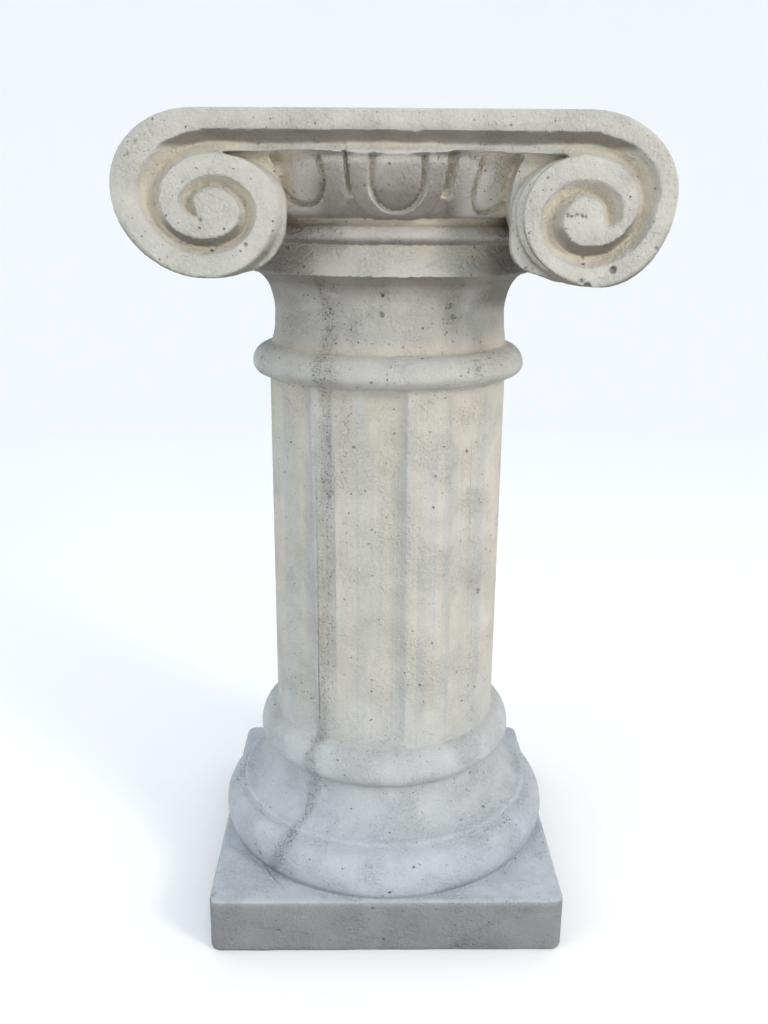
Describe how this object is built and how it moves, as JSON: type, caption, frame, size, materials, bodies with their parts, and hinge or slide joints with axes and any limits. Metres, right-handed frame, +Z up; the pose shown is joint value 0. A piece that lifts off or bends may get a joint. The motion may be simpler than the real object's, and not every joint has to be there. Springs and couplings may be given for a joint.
{
  "type": "ionic column pedestal",
  "caption": "Cast stone garden pedestal shaped as a short fluted Ionic column, with a scrolled capital that carries a pot or a figure and a square plinth that it stands on.",
  "frame": {"origin": "on the column's axis, in the plane of the plinth's underside", "axes": "+Z up along the column's axis, the carved front faces -Y, +X to the right seen from the front"},
  "size_m": [0.4048, 0.32, 0.7],
  "materials": {
    "cast_stone": "matte"
  },
  "bodies": {
    "root": {"ionic_pedestal": "cast_stone"}
  },
  "joints": []
}
